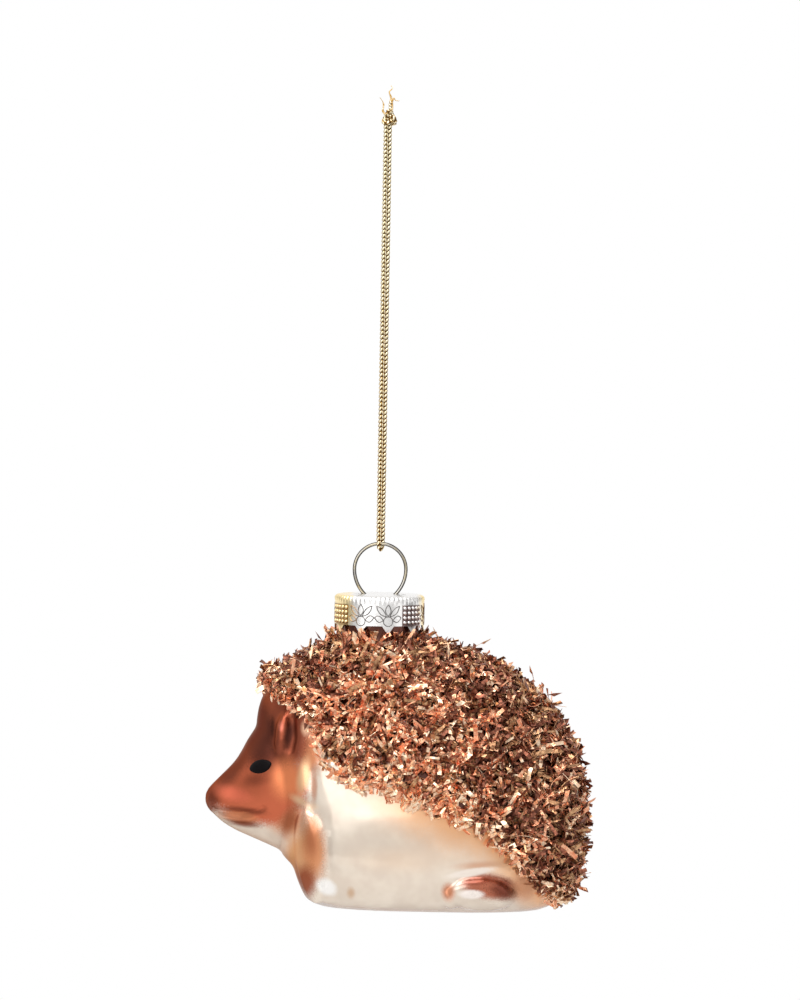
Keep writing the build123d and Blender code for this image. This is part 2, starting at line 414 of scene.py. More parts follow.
knotSet = {
    "centre": (0.3, 0.0, 1.5),
    "half": (1.2, 0.75, 1.4),
    "coreGrow": 1.3,
    "stub": [(0.3, 0.0, 2.7), (0.55, 0.05, 3.7), (0.4, -0.05, 4.4), (0.65, 0.0, 5.1)],
    "stubGrow": 0.8,
    "wisps": [
        [(0.6, 0.0, 4.8), (0.75, 0.0, 5.7), (0.0, 0.05, 6.8),
         (0.6, 0.0, 7.3), (0.95, 0.05, 7.7), (0.45, 0.1, 8.1)],
        [(0.5, 0.1, 4.8), (0.55, 0.15, 5.6), (0.15, 0.1, 6.5), (0.3, 0.0, 7.1)],
        [(-0.5, -0.2, 2.2), (-1.3, -0.3, 2.9), (-0.85, -0.2, 3.8),
         (-0.85, -0.25, 4.6), (-1.7, -0.25, 5.7)],
        [(-0.4, 0.1, 2.3), (-1.1, 0.2, 3.0), (-0.95, 0.25, 4.0), (-1.1, 0.1, 4.9)],
        [(0.8, 0.1, 4.8), (1.05, 0.15, 5.9), (1.45, 0.1, 5.0), (2.2, 0.15, 5.1)],
        [(0.8, -0.1, 3.2), (1.0, -0.3, 4.2), (0.8, -0.2, 5.0)],
    ],
    "wispRadius": 0.16,
    "wispTaper": (1.1, 0.75),  # width at the root, and how much of it is lost
    "wispShade": 0.36,
}


def trefoil(s, count=90):
    centre, half = Vector(s["centre"]), s["half"]
    line = []
    for i in range(count + 1):
        t = 2 * math.pi * i / count
        x = (math.sin(t) + 2 * math.sin(2 * t)) / 3
        z = (2 * math.cos(2 * t) - math.cos(t)) / 3
        line.append(centre + Vector((x * half[0], -math.sin(3 * t) * half[1], z * half[2])))
    return line


def makeKnot(s, c, look, lobe):
    bm = bmesh.new()
    line = trefoil(s)
    # the core keeps shade 0, so it shows as painted shade between the stitches
    tubeAlong(bm, line, c["core"] * s["coreGrow"])
    chainAlong(bm, line, c, lobe)
    keepPiece("overhandKnot", bm, "knot", look, ["cord_knot"])
    bm = bmesh.new()
    chainAlong(bm, splineLine(s["stub"]), c, lobe, s["stubGrow"])
    root, loss = s["wispTaper"]
    for route in s["wisps"]:
        tubeAlong(bm, splineLine(route), s["wispRadius"], 6, lambda t: root - loss * t, s["wispShade"])
    keepPiece("frayedEnds", bm, "knot", look, ["cord_tails"])


makeKnot(knotSet, cordSet, goldLook, lobeMesh)
lineLength(cordLine) * mm
[tuple(point * mm) for point in cordLine]

# glass: blown body, snout, ears, legs and feet in one skin, measured up from its flat base

glassSet = {
    "slices": [  # height, reach to the front, reach to the back, half width, squareness
        (0.0, 11.8, 34.2, 14.8, 2.7),
        (0.7, 13.4, 35.7, 17.0, 2.7),
        (2.2, 14.5, 36.9, 19.0, 2.7),
        (5.0, 15.7, 38.2, 20.6, 2.7),
        (7.9, 16.8, 38.9, 21.2, 2.65),
        (10.1, 18.9, 39.3, 21.6, 2.6),
        (18.0, 20.4, 39.8, 22.0, 2.4),
        (26.0, 23.0, 39.2, 21.0, 2.2),
        (33.9, 24.3, 36.6, 18.8, 2.1),
        (40.0, 23.6, 32.9, 16.3, 2.0),
        (44.8, 20.9, 27.6, 13.9, 2.0),
        (48.0, 16.8, 21.8, 11.9, 2.0),
        (49.8, 12.9, 16.9, 10.4, 2.0),
        (51.0, 10.2, 12.8, 9.2, 2.0),
        (53.0, 8.0, 8.0, 8.0, 2.0),
    ],
    "sliceStep": 1.0,
    "snout": [  # place along the body, height, half height, half width
        (-33.1, 20.6, 2.7, 2.65),
        (-31.0, 20.7, 4.74, 4.3),
        (-28.0, 21.5, 7.3, 6.2),
        (-25.5, 23.2, 10.1, 8.2),
        (-22.0, 24.7, 13.1, 10.6),
        (-17.0, 24.6, 14.9, 12.7),
        (-12.0, 24.5, 14.5, 13.4),
    ],
    "nose": (-30.95, 20.5, 3.45),  # place along the body and up, radius
    "neck": (8.0, 61.75),  # radius and top
    "neckRoot": 4.0,
    "bore": (7.0, 49.0),  # radius and bottom
    "boreOver": 3.0,
    "features": [  # place along the body and up, half sizes, lean, share standing out
        (-19.0, 34.8, (1.7, 4.3, 1.5), 4.0, 0.7),  # ear
        (-13.3, 10.5, (4.1, 9.8, 1.7), -2.0, 0.45),  # front leg
        (-10.4, 2.8, (3.6, 2.6, 1.7), 0.0, 0.5),  # front paw
        (21.4, 3.9, (7.2, 4.0, 2.4), 4.0, 0.6),  # hind foot
        (15.2, 3.0, (1.9, 2.3, 2.2), 0.0, 0.6),  # its toe
    ],
    "voxel": 0.45,
    "smoothRounds": 6,
    "smoothShare": 0.5,
    "clear": 60,  # well outside the body
    "markReach": 3,  # half widths to either side that a mark is carved
    "markZone": (2, 50),  # least distance from the middle, and greatest height
    "ripple": 0.07,
    "rippleScale": 0.16,
    "rippleZone": (0.5, 52),
    "paintRise": 0.6,
    "sharp": 50,
}

# carved marks: points on the flank, depth, half width; a negative depth is a ridge
carvedMarks = [
    ([(-33.4, 18.6), (-30.5, 17.9), (-27.0, 18.0), (-24.0, 18.7), (-22.4, 19.6)], 0.5, 0.55),  # mouth
    ([(-30.4, 16.4), (-27.5, 15.7), (-25.0, 15.8), (-23.2, 17.2)], 0.3, 0.6),  # under the lip
    ([(-30.2, 17.1), (-27.0, 16.8), (-24.4, 17.3)], -0.25, 0.7),  # lip
    ([(-17.0, 37.6), (-16.8, 34.0), (-17.2, 31.6)], 0.7, 0.9),  # behind the ear
    ([(-20.9, 36.6), (-20.8, 34.0)], 0.25, 0.7),  # in front of the ear
    ([(-12.8, 27.5), (-12.5, 24.0), (-12.8, 20.0)], 0.22, 1.0),  # behind the cheek
    ([(-14.8, 28.0), (-14.7, 24.0)], -0.2, 1.1),  # cheek ridge
    ([(-9.7, 15.0), (-9.4, 9.0), (-9.8, 5.6)], 0.45, 0.9),  # behind the front leg
    ([(14.0, 5.6), (17.4, 7.9), (21.4, 8.4), (25.0, 7.4), (28.4, 4.6)], 0.35, 0.9),  # over the foot
]


def between(rows, at):  # smooth values between the rows of a table, keyed by their first column
    keys = [row[0] for row in rows]
    k = min(max(bisect.bisect(keys, at) - 1, 0), len(rows) - 2)
    before, low, high, after = (rows[min(max(k + i, 0), len(rows) - 1)] for i in (-1, 0, 1, 2))
    span = high[0] - low[0]
    t = (at - low[0]) / span
    values = []
    for column in range(1, len(low)):
        start = (high[column] - before[column]) / max(high[0] - before[0], 1e-6) * span
        end = (after[column] - low[column]) / max(after[0] - low[0], 1e-6) * span
        values.append(
            (2 * t**3 - 3 * t**2 + 1) * low[column] + (t**3 - 2 * t**2 + t) * start
            + (3 * t**2 - 2 * t**3) * high[column] + (t**3 - t**2) * end
        )
    return values


def evenly(low, high, step):
    count = max(1, round((high - low) / step))
    return [low + (high - low) * i / count for i in range(count + 1)]


def ovalStack(bm, levels, shapeAt, segments=96):  # closed skin through a row of ovals
    rings = []
    for level in levels:
        ends = level in (levels[0], levels[-1])
        made = bmesh.ops.create_circle(bm, cap_ends=ends, segments=segments, radius=1.0)["verts"]
        for vertex in made:
            vertex.co = shapeAt(level, math.atan2(vertex.co.y, vertex.co.x))
        rings.append(ringEdges(made))
    bridgeRings(bm, rings)


def rod(bm, radius, bottom, top):
    bmesh.ops.create_cone(bm, cap_ends=True, segments=96, radius1=radius, radius2=radius,
                          depth=top - bottom, matrix=Matrix.Translation((0, 0, (top + bottom) / 2)))


def rounded(value, power):
    return math.copysign(abs(value) ** (2 / power), value)


def bodyShape(height, turn):
    front, back, half, square = between(glassSet["slices"], height)
    x = (back - front) / 2 + (back + front) / 2 * rounded(math.cos(turn), square)
    return Vector((x, half * rounded(math.sin(turn), square), height))


def snoutShape(along, turn):
    rise, halfHeight, halfWidth = between(glassSet["snout"], along)
    return Vector((along, halfWidth * math.cos(turn), rise + halfHeight * math.sin(turn)))


def flankPoint(tree, x, z):  # where the left flank lies, and the way it faces
    start = Vector((x, -glassSet["clear"], z))
    place, facing, _, _ = tree.ray_cast(start, Vector((0, 1, 0)))
    return place, facing


def strokeDistance(x, z, points):
    best = 1e9
    here = Vector((x, z))
    for a, b in zip(points, points[1:]):
        a, b = Vector(a), Vector(b)
        part = min(max((here - a).dot(b - a) / (b - a).length_squared, 0), 1)
        best = min(best, (here - a.lerp(b, part)).length)
    return best


def makeGlass(s, marks):
    bm = bmesh.new()
    shoulder = s["slices"][-1][0]
    ovalStack(bm, evenly(0.0, shoulder, s["sliceStep"]), bodyShape)
    ovalStack(bm, evenly(s["snout"][0][0], s["snout"][-1][0], s["sliceStep"]), snoutShape)
    noseX, noseZ, noseR = s["nose"]
    bmesh.ops.create_uvsphere(bm, u_segments=32, v_segments=24, radius=noseR,
                              matrix=Matrix.Translation((noseX, 0, noseZ)))
    neckR, neckTop = s["neck"]
    rod(bm, neckR, shoulder - s["neckRoot"], neckTop)
    bmesh.ops.recalc_face_normals(bm, faces=bm.faces)
    tree = BVHTree.FromBMesh(bm)
    for x, z, half, lean, stand in s["features"]:
        place, facing = flankPoint(tree, x, z)
        up = Vector((math.sin(math.radians(lean)), 0, math.cos(math.radians(lean))))
        for mirrored in (1, -1):
            flip = Vector((1, mirrored, 1))
            out = facing * flip
            along = up.cross(out)
            middle = place * flip - out * half[2] * (1 - stand)
            bmesh.ops.create_uvsphere(bm, u_segments=32, v_segments=20, radius=1.0,
                                      matrix=axes(along, out.cross(along), middle, half))
    bmesh.ops.recalc_face_normals(bm, faces=bm.faces)
    skin = modified(bm, "glassSkin", [("REMESH", {"mode": "VOXEL", "voxel_size": s["voxel"]})])
    for _ in range(s["smoothRounds"]):
        bmesh.ops.smooth_vert(skin, verts=skin.verts, factor=s["smoothShare"],
                              use_axis_x=True, use_axis_y=True, use_axis_z=True)
    carve(skin, marks, s)
    return skin


def carve(skin, marks, s):
    skin.normal_update()
    middle, markTop = s["markZone"]
    rippleLow, rippleHigh = s["rippleZone"]
    moves = []
    for vertex in skin.verts:
        x, y, z = vertex.co
        push = 0.0
        if abs(y) > middle and z < markTop:
            for points, depth, half in marks:
                reach = s["markReach"] * half
                if min(p[0] for p in points) - reach < x < max(p[0] for p in points) + reach:
                    away = strokeDistance(x, z, points)
                    if away < reach:
                        push -= depth * math.exp(-((away / half) ** 2))
        if rippleLow < z < rippleHigh:
            push += s["ripple"] * noise.noise(vertex.co * s["rippleScale"])
        moves.append(vertex.normal * push)
    for vertex, move in zip(skin.verts, moves):
        vertex.co += move


def boreNeck(skin, s):
    radius, bottom = s["bore"]
    cutter = bmesh.new()
    rod(cutter, radius, bottom, s["neck"][1] + s["boreOver"])
    mesh = template("boreCutter", cutter)
    holder = bpy.data.objects.new("boreCutter", mesh)
    scene.collection.objects.link(holder)
    cut = {"object": holder, "operation": "DIFFERENCE", "solver": "EXACT"}
    done = modified(skin, "glassBored", [("BOOLEAN", cut)])
    bpy.data.objects.remove(holder)
    bpy.data.meshes.remove(mesh)
    return done


# lower edge of the tinsel on the flank, from brow to rump
coatEdge = [
    (-26.0, 44.8), (-21.0, 42.4), (-18.6, 40.6), (-15.8, 39.4), (-13.0, 36.8), (-11.4, 33.8),
    (-10.6, 30.4), (-10.0, 28.2), (-7.0, 26.8), (-4.6, 25.2), (-0.6, 24.5), (3.7, 23.5),
    (6.2, 21.9), (11.2, 20.6), (14.5, 19.1), (17.2, 18.1), (21.5, 16.6), (24.3, 13.7),
    (27.0, 11.2), (30.8, 7.2), (33.4, 3.9), (36.0, 1.0),
]


def edgeHeight(x):
    if x <= coatEdge[0][0]:
        return coatEdge[0][1]
    for (x0, z0), (x1, z1) in zip(coatEdge, coatEdge[1:]):
        if x <= x1:
            return z0 + (z1 - z0) * (x - x0) / (x1 - x0)
    return coatEdge[-1][1]


# painted spots: place along the body and up, half sizes, turn, hard core, colour, share; the sprayed
# colours of the glass, with painted highlights and painted shade where marked
faceSpots = [
    (5.0, 10.5, 14.0, 4.0, 0.0, 0.1, (236, 206, 178), 0.5),  # flank
    (-17.5, 18.0, 6.5, 6.5, 0.0, 0.2, (220, 146, 100), 0.9),  # throat
    (-13.4, 31.0, 4.0, 6.4, 0.0, 0.3, (216, 140, 96), 1.0),
    (-25.5, 24.0, 13.5, 9.4, 14.0, 0.7, (206, 108, 76), 1.0),  # face
    (-20.0, 34.5, 8.5, 12.0, 0.0, 0.6, (150, 78, 56), 1.0),
    (-17.4, 25.0, 5.2, 5.8, 0.0, 0.2, (255, 152, 102), 1.0),
    (-22.8, 30.8, 3.2, 1.3, -24.0, 0.1, (216, 124, 92), 0.6),
    # painted highlight by the edge of the tinsel
    (-14.2, 35.4, 1.3, 2.0, 0.0, 0.1, (252, 204, 168), 0.8),
    (-24.4, 35.0, 5.2, 10.5, -18.0, 0.45, (97, 51, 41), 0.95),  # forehead
    (-28.9, 27.0, 9.6, 3.6, -50.0, 0.3, (112, 58, 44), 0.92),
    (-24.0, 24.6, 4.4, 2.0, -12.0, 0.1, (138, 70, 50), 0.7),
    (-34.2, 20.0, 4.0, 5.0, 0.0, 0.4, (128, 62, 44), 0.9),  # nose
    # painted highlight on the muzzle
    (-28.6, 21.3, 5.2, 2.4, 6.0, 0.2, (252, 130, 98), 0.95),
    (-27.0, 18.2, 6.6, 1.2, 2.0, 0.2, (120, 60, 42), 0.85),  # mouth: painted shade in its crease
    (-27.4, 16.7, 5.4, 1.7, 4.0, 0.4, (212, 132, 92), 0.9),
    # painted shade in the groove under the lip
    (-26.4, 15.4, 5.0, 1.2, 2.0, 0.2, (132, 68, 48), 0.9),
    (-17.5, 33.8, 1.5, 4.8, 10.0, 0.25, (62, 30, 24), 0.95),  # ear: painted shade in the groove behind it
    # painted shade in the groove in front of the ear
    (-20.8, 35.0, 0.7, 3.0, 0.0, 0.2, (66, 34, 28), 0.7),
    # painted highlight on the ear
    (-19.1, 35.5, 0.8, 1.5, 0.0, 0.1, (226, 130, 108), 0.8),
    (-14.4, 26.2, 1.7, 5.0, 11.0, 0.25, (255, 202, 154), 1.0),  # cheek: a painted highlight down its ridge
    # painted highlights at the fold under the cheek
    (-15.2, 21.2, 3.0, 1.4, 24.0, 0.0, (255, 216, 172), 0.75),
    (-12.4, 20.2, 1.8, 1.3, 0.0, 0.0, (255, 220, 184), 0.7),
    # painted shade in the groove behind the cheek
    (-12.2, 24.0, 0.9, 4.6, 0.0, 0.2, (206, 132, 92), 0.7),
]
legSpots = [
    (-17.2, 16.6, 2.6, 4.4, 20.0, 0.1, (164, 94, 64), 0.9),
    (-14.6, 9.6, 4.4, 7.8, 8.0, 0.4, (228, 172, 126), 1.0),
    (-12.2, 12.0, 3.6, 9.0, -4.0, 0.3, (218, 146, 100), 0.95),
    (-12.6, 13.5, 2.0, 5.0, -4.0, 0.1, (184, 108, 72), 0.8),
    (-13.8, 5.0, 3.4, 5.2, 6.0, 0.25, (156, 78, 48), 0.95),
]
footSpots = [
    (-9.4, 4.3, 2.8, 2.1, 30.0, 0.4, (255, 252, 248), 0.95),  # front paw: a painted highlight on the paw
    (-4.6, 3.4, 1.2, 1.8, 0.0, 0.1, (206, 164, 122), 0.7),
    (20.6, 9.6, 7.0, 1.2, -4.0, 0.0, (208, 146, 106), 0.65),  # hind foot: a painted shadow above its ridge
    (22.6, 5.4, 7.2, 3.2, 8.0, 0.5, (178, 94, 64), 0.95),
    (25.8, 4.8, 4.2, 3.0, 16.0, 0.3, (116, 56, 40), 0.95),
    (20.4, 6.6, 5.0, 1.2, -6.0, 0.3, (136, 66, 46), 0.85),
    # painted highlight on the foot
    (19.2, 3.9, 3.2, 1.2, 0.0, 0.5, (255, 244, 236), 0.95),
    (14.6, 4.2, 1.9, 2.5, 0.0, 0.25, (206, 126, 82), 0.9),
    # painted highlight along the upper rim of the foot
    (18.8, 8.1, 6.0, 1.0, -10.0, 0.45, (255, 244, 232), 0.9),
    (29.8, 5.5, 4.0, 5.5, 0.0, 0.2, (204, 140, 100), 0.9),
]


def glassFinish(s):
    look = Finish("pearlLacquer", {"Coat Roughness": 0.06, "Coat IOR": 1.5, "Specular IOR Level": 0.5,
                                   "Specular Tint": tint(205, 168, 150)})
    place = look.place(baseHeight + s["paintRise"])
    x, y, z = (look.axis(place, letter) for letter in "XYZ")
    sides = look.ease(abs(y), 2.5, 7.0)  # nothing in the middle of the chest
    spray = look.grain(place, 3.2, 2.0, 0.8) - 0.5
    drift = look.grain(place, 0.16, 3.0) - 0.5
    cloud = look.grain(place, 0.2, 2.0, 0.5)

    def spot(atX, atZ, wide, high, turn, core):  # right through the body
        seat = look.node("ShaderNodeMapping", {"vector_type": "TEXTURE"}, {
            "Vector": place, "Location": (atX, 0, atZ), "Rotation": (0, math.radians(turn), 0),
            "Scale": (wide, 1e6, high)})
        away = look.node("ShaderNodeVectorMath", {"operation": "LENGTH"}, {0: seat}, "Value")
        return look.ease(away + spray * 0.35 + drift * 0.25, 1.0, core)

    def paint(under, mask, colour, share=1.0):
        return look.mix(mask * share, under, tint(*colour))

    (frontX, frontZ), (backX, backZ) = coatEdge[0], coatEdge[-1]
    span, tall = backX - frontX, frontZ - backZ
    stops = [((px - frontX) / span, grey((pz - backZ) / tall)) for px, pz in coatEdge]
    edge = look.node("ShaderNodeValToRGB", {"stops": stops}, {0: (x - frontX) / span})
    above = z - (edge * tall + backZ) + drift * 3.0  # height over the edge of the tinsel

    colour = look.mix(look.ease(cloud, 0.3, 0.75), tint(228, 212, 195), tint(243, 229, 212))
    band = look.ease(above + spray * 3.0, -11.0, 0.0) * look.ease(x, -7.0, 12.0)
    colour = paint(colour, band, (255, 190, 132), 0.95)
    for spots, limit in ((faceSpots, None), (legSpots, sides), (footSpots, None)):
        for *seat, shade, share in spots:
            mask = spot(*seat)
            colour = paint(colour, mask * limit if limit else mask, shade, share)
    # dark ground under the tinsel and round the neck
    under = look.ease(above + spray * 1.2, 0.6, 2.2)
    colour = paint(colour, under, (92, 44, 30))
    # less gloss on the face, the front leg and the hind foot
    satin = look.ease(x, -10.5, -16.5)
    leg = spot(-13.4, 10.0, 5.0, 11.0, 0.0, 0.5)
    foot = spot(24.0, 4.8, 6.4, 3.4, 6.0, 0.5)
    for mask in (leg * 0.8, foot * 0.7):
        satin = satin.math("MAXIMUM", satin, mask)
    look.set("Base Color", colour)
    look.set("Metallic", 0.45 + satin * 0.4 + under * 0.2)
    look.set("Roughness", 0.14 + spray * 0.06 + satin * 0.2)
    look.set("Coat Weight", 0.6 - satin * 0.6)
    return look


pearlLook = glassFinish(glassSet)
glassSkin = boreNeck(makeGlass(glassSet, carvedMarks), glassSet)
glassTree = BVHTree.FromBMesh(glassSkin)
glassFaces = [
    (face.calc_center_median(), face.normal.copy(), face.calc_area()) for face in glassSkin.faces
]
keepPiece("blownGlass", glassSkin, "ornament", pearlLook, ["glass_body"],
          baseHeight, glassSet["sharp"])

# eyes: drops of enamel that follow the glass

eyeSet = {
    "x": -23.1,
    "z": 27.9,
    "half": (2.35, 1.3),
    "tilt": 20.0,
    "stand": 0.32,
    "root": 0.3,
    "rings": 7,
    "hole": 0.02,
    "pinch": 0.25,  # narrower towards the corners
}


def eyeFinish():
    look = Finish("blackEnamel", {"Specular IOR Level": 0.06})
    place = look.place(baseHeight)
    mottle = look.grain(place, 1.6, 3.0)
    look.set("Base Color", look.mix(mottle, tint(9, 7, 8), tint(20, 15, 16)))
    look.set("Roughness", 0.38 + mottle * 0.2)
    return look


def makeEye(name, node, side, s, look, tree):
    tilt = math.radians(s["tilt"])
    rings = []
    bm = bmesh.new()
    for i in range(s["rings"] + 2):
        share = min(i / s["rings"], 1.0)
        grow = max(share, s["hole"])
        made = bmesh.ops.create_circle(bm, segments=40, radius=1.0)["verts"]
        for vertex in made:
            turn = math.atan2(vertex.co.y, vertex.co.x)
            along = s["half"][0] * math.cos(turn) * grow
            up = s["half"][1] * math.sin(turn) * (1 - s["pinch"] * abs(math.cos(turn)) ** 3) * grow
            x = s["x"] + along * math.cos(tilt) - up * math.sin(tilt)
            z = s["z"] + along * math.sin(tilt) + up * math.cos(tilt)
            place, facing = flankPoint(tree, x, z)
            dome = s["stand"] * math.sqrt(max(1 - share**2, 0))
            stand = dome if i <= s["rings"] else -s["root"]
            vertex.co = (place + facing * stand) * Vector((1, side, 1))
        rings.append(ringEdges(made))
    bmesh.ops.contextual_create(bm, geom=rings[0])
    bmesh.ops.contextual_create(bm, geom=rings[-1])
    bridgeRings(bm, rings)
    bmesh.ops.recalc_face_normals(bm, faces=bm.faces)
    keepPiece(name, bm, "ornament", look, [node], baseHeight)


enamelLook = eyeFinish()
makeEye("eyeDropLeft", "eye_left", 1, eyeSet, enamelLook, glassTree)
makeEye("eyeDropRight", "eye_right", -1, eyeSet, enamelLook, glassTree)

# tinsel: loose foil clippings in glue over the back

tinselSet = {
    "seed": 11,
    "count": 11500,
    "length": (1.7, 4.3),
    "width": (0.34, 0.92),
    "film": 0.06,
    "curls": [0.2, -0.8, 1.3, -1.9],
    "bow": 2.8,  # length that the curls are drawn for
    "twists": [0.0, 0.45, -0.7],
    "lift": (0.1, 1.7),
    "tilt": (0.0, 62.0, 18.0),
    "roll": 38.0,
    "stand": 0.8,
    "edgeFray": 1.0,
    "lowest": 2.6,
    "highest": 54.3,
    "neckFit": 7.9,
    "neckRadius": 9.7,
    "capPoints": 54.2,
    "browFrom": -17,
    "browLift": 0.7,
    "browBulk": (-22.2, 43.8, 5.2, 2.4),  # middle, radius and depth of the tuft over the face
    "browReach": -24.5,
    "flatTop": 0.34,
    "topFacing": (0.35, 0.4),  # where it begins to lie flat, and over how much
    "topTilt": 0.6,
    "table": 0.4,
    "sideReach": 26.0,
    "strays": 260,
    "hair": (1.4, 0.14, 1.3),  # a stray's share of length, its width, its share of tilt
    "collar": (11.0, 50),  # radius and height
    "collarLean": (0.5, 0.6),  # share at random, share outwards
    "clump": 0.3,  # lumps to a millimetre
    "clumpLift": 0.9,
    "rimTop": (0.1, 1.2),  # the rim drawn in darker foils as painted shade: start and gain on top
    "rimBack": (16, 15),  # start and span
    "rimFront": (-12, 8),
    "rimClump": 1.2,
    "hem": 6.5,
    "hemRim": 0.5,
}

# pale and deep colour, roughness, then how often it is drawn on the flank, at the rim, at the hem; the
# darker foils drawn at the rim are painted shade, the paler foils at the hem a painted highlight
foils = {
    "foilCopper": ((255, 202, 164), (228, 138, 100), 0.25, 6.6, 1.1, 5.0),
    "foilBronze": ((218, 170, 126), (140, 98, 68), 0.28, 1.3, 4.6, 0.4),
    "foilGold": ((255, 232, 202), (244, 190, 150), 0.22, 3.7, 1.1, 10.0),
    "foilBrown": ((168, 104, 80), (84, 49, 38), 0.32, 1.2, 6.4, 0.2),
}


def foilFinish(name, pale, deep, rough):
    look = Finish(name, {"Metallic": 0.82})
    place = look.place(baseHeight)
    tone = look.grain(place, 0.9, 2.0, 0.7)
    look.set("Base Color", look.mix(look.ease(tone, 0.3, 0.7), tint(*deep), tint(*pale)))
    crease = look.grain(place, 1.9, 3.0)
    look.set("Roughness", rough + (crease - 0.5) * 0.24)
    look.set("Normal", look.bump(crease, 0.12, 0.2))
    return look


def clippingShapes(s):
    shapes = []
    for curl in s["curls"]:
        for twist in s["twists"]:
            bm = bmesh.new()
            bmesh.ops.create_cube(bm, size=1.0)
            longEdges = [edge for edge in bm.edges if abs(edge.verts[0].co.x - edge.verts[1].co.x) > 0.5]
            bmesh.ops.subdivide_edges(bm, edges=longEdges, cuts=3, use_grid_fill=True)
            for vertex in bm.verts:
                share, wide, thick = vertex.co
                thick *= s["film"]
                turn = twist * share
                y = wide * math.cos(turn) - thick * math.sin(turn)
                z = wide * math.sin(turn) + thick * math.cos(turn)
                bend = curl * share
                x = math.sin(bend) / curl - z * math.sin(bend)
                bow = (1 - math.cos(bend)) / curl * s["bow"]
                vertex.co = Vector((x, y, bow + z * math.cos(bend)))
            shapes.append(template("clipping", bm))
    return shapes


def clamp(value):
    return min(1.0, max(0.0, value))


def inCoat(s, place, fray):
    x, y, z = place
    over = z > max(edgeHeight(x), s["lowest"]) + fray
    return over and math.hypot(x, y) > s["neckFit"] and z < s["highest"]


def flatWay(s, draw, place, facing):  # a way along the skin, upright round the neck
    way = Vector([draw.gauss(0, 1) for _ in range(3)])
    radius, height = s["collar"]
    if place.z > height and math.hypot(place.x, place.y) < radius:
        loose, outward = s["collarLean"]
        out = Vector((place.x, place.y, 0)).normalized()
        way = way * loose + out * outward + Vector((0, 0, 1))
    return (way - facing * way.dot(facing)).normalized()


def misplaced(s, centre, tip):  # past the brow, the table or a side, or in the cap
    foot = [2 * middle - end for middle, end in zip(centre, tip)]
    return (
        min(tip.x, foot[0]) < s["browReach"]
        or min(tip.z, foot[2]) < s["table"]
        or max(abs(tip.y), abs(foot[1])) > s["sideReach"]
        or (tip.z > s["capPoints"] and math.hypot(tip.x, tip.y) < s["neckRadius"])
    )


def foilOdds(s, place, facing, clump):
    top, gain = s["rimTop"]
    back, backSpan = s["rimBack"]
    front, frontSpan = s["rimFront"]
    # the rim, drawn in darker foils: painted shade
    rim = clamp(
        max(0.0, (abs(facing.z) - top) * gain)
        + max(0.0, (place.x - back) / backSpan)
        + max(0.0, (front - place.x) / frontSpan)
    )
    # the hem, drawn in paler foils: painted highlight
    hem = clamp(1 - (place.z - edgeHeight(place.x)) / s["hem"]) * (1 - s["hemRim"] * rim)
    rim = clamp(rim - clump * s["rimClump"])
    return [
        (flank * (1 - rim) + edge * rim) * (1 - hem) + low * hem
        for _, _, _, flank, edge, low in foils.values()
    ]


def makeTinsel(s, faces):
    draw = random.Random(s["seed"])
    skin = []
    for place, facing, area in faces:
        if inCoat(s, place, -s["edgeFray"]) and facing.length_squared > 0.5:  # slivers face nowhere
            skin.append((place, facing, area))
    weights = list(accumulate(area for _, _, area in skin))
    shapes = clippingShapes(s)
    piles = {name: bmesh.new() for name in foils}
    names = list(foils)
    longer, hairWidth, steeper = s["hair"]
    topStart, topSpan = s["topFacing"]
    tuftX, tuftZ, tuftR, tuftDeep = s["browBulk"]
    for i in range(s["count"]):
        place, facing, _ = skin[bisect.bisect(weights, draw.random() * weights[-1]) % len(skin)]
        if not inCoat(s, place, draw.uniform(-s["edgeFray"], s["edgeFray"])):
            continue
        hair = i < s["strays"]
        top = s["flatTop"] * clamp((facing.z - topStart) / topSpan)
        length = draw.uniform(*s["length"]) * (longer if hair else 1.0)
        width = hairWidth if hair else draw.uniform(*s["width"])
        tilt = math.radians(draw.triangular(*s["tilt"]) * (steeper if hair else 1.0))
        tilt *= 1 - top * s["topTilt"]
        along = flatWay(s, draw, place, facing) * math.cos(tilt) + facing * math.sin(tilt)
        roll = math.radians(draw.gauss(0, s["roll"]))
        sideways = facing.cross(along).normalized()
        across = sideways * math.cos(roll) + along.cross(sideways) * math.sin(roll)
        clump = noise.noise(place * s["clump"])
        lift = draw.uniform(*s["lift"]) * (s["browLift"] if place.x < s["browFrom"] else 1.0)
        lift = max(s["lift"][0], (lift + clump * s["clumpLift"]) * (1 - top))
        off = math.hypot(place.x - tuftX, place.z - tuftZ) / tuftR
        lift += draw.random() * tuftDeep * max(0.0, 1 - off * off)
        centre = place + facing * (lift + 0.5 * length * math.sin(tilt) * s["stand"])
        if misplaced(s, centre, centre + along * length * 0.5):
            continue
        name = draw.choices(names, foilOdds(s, place, facing, clump))[0]
        stamp(piles[name], draw.choice(shapes), axes(along, across, centre, (length, width, 1.0)))
    coat = [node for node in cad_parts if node.startswith("tinsel")]
    for name, (pale, deep, rough, *_) in foils.items():
        look = foilFinish(name, pale, deep, rough)
        nodes = coat if name == names[0] else []
        keepPiece(name, piles[name], "ornament", look, nodes, baseHeight, smooth=False)


makeTinsel(tinselSet, glassFaces)

# cap: stamped sheet crown with leaves, beads, a fluted rim and ten points

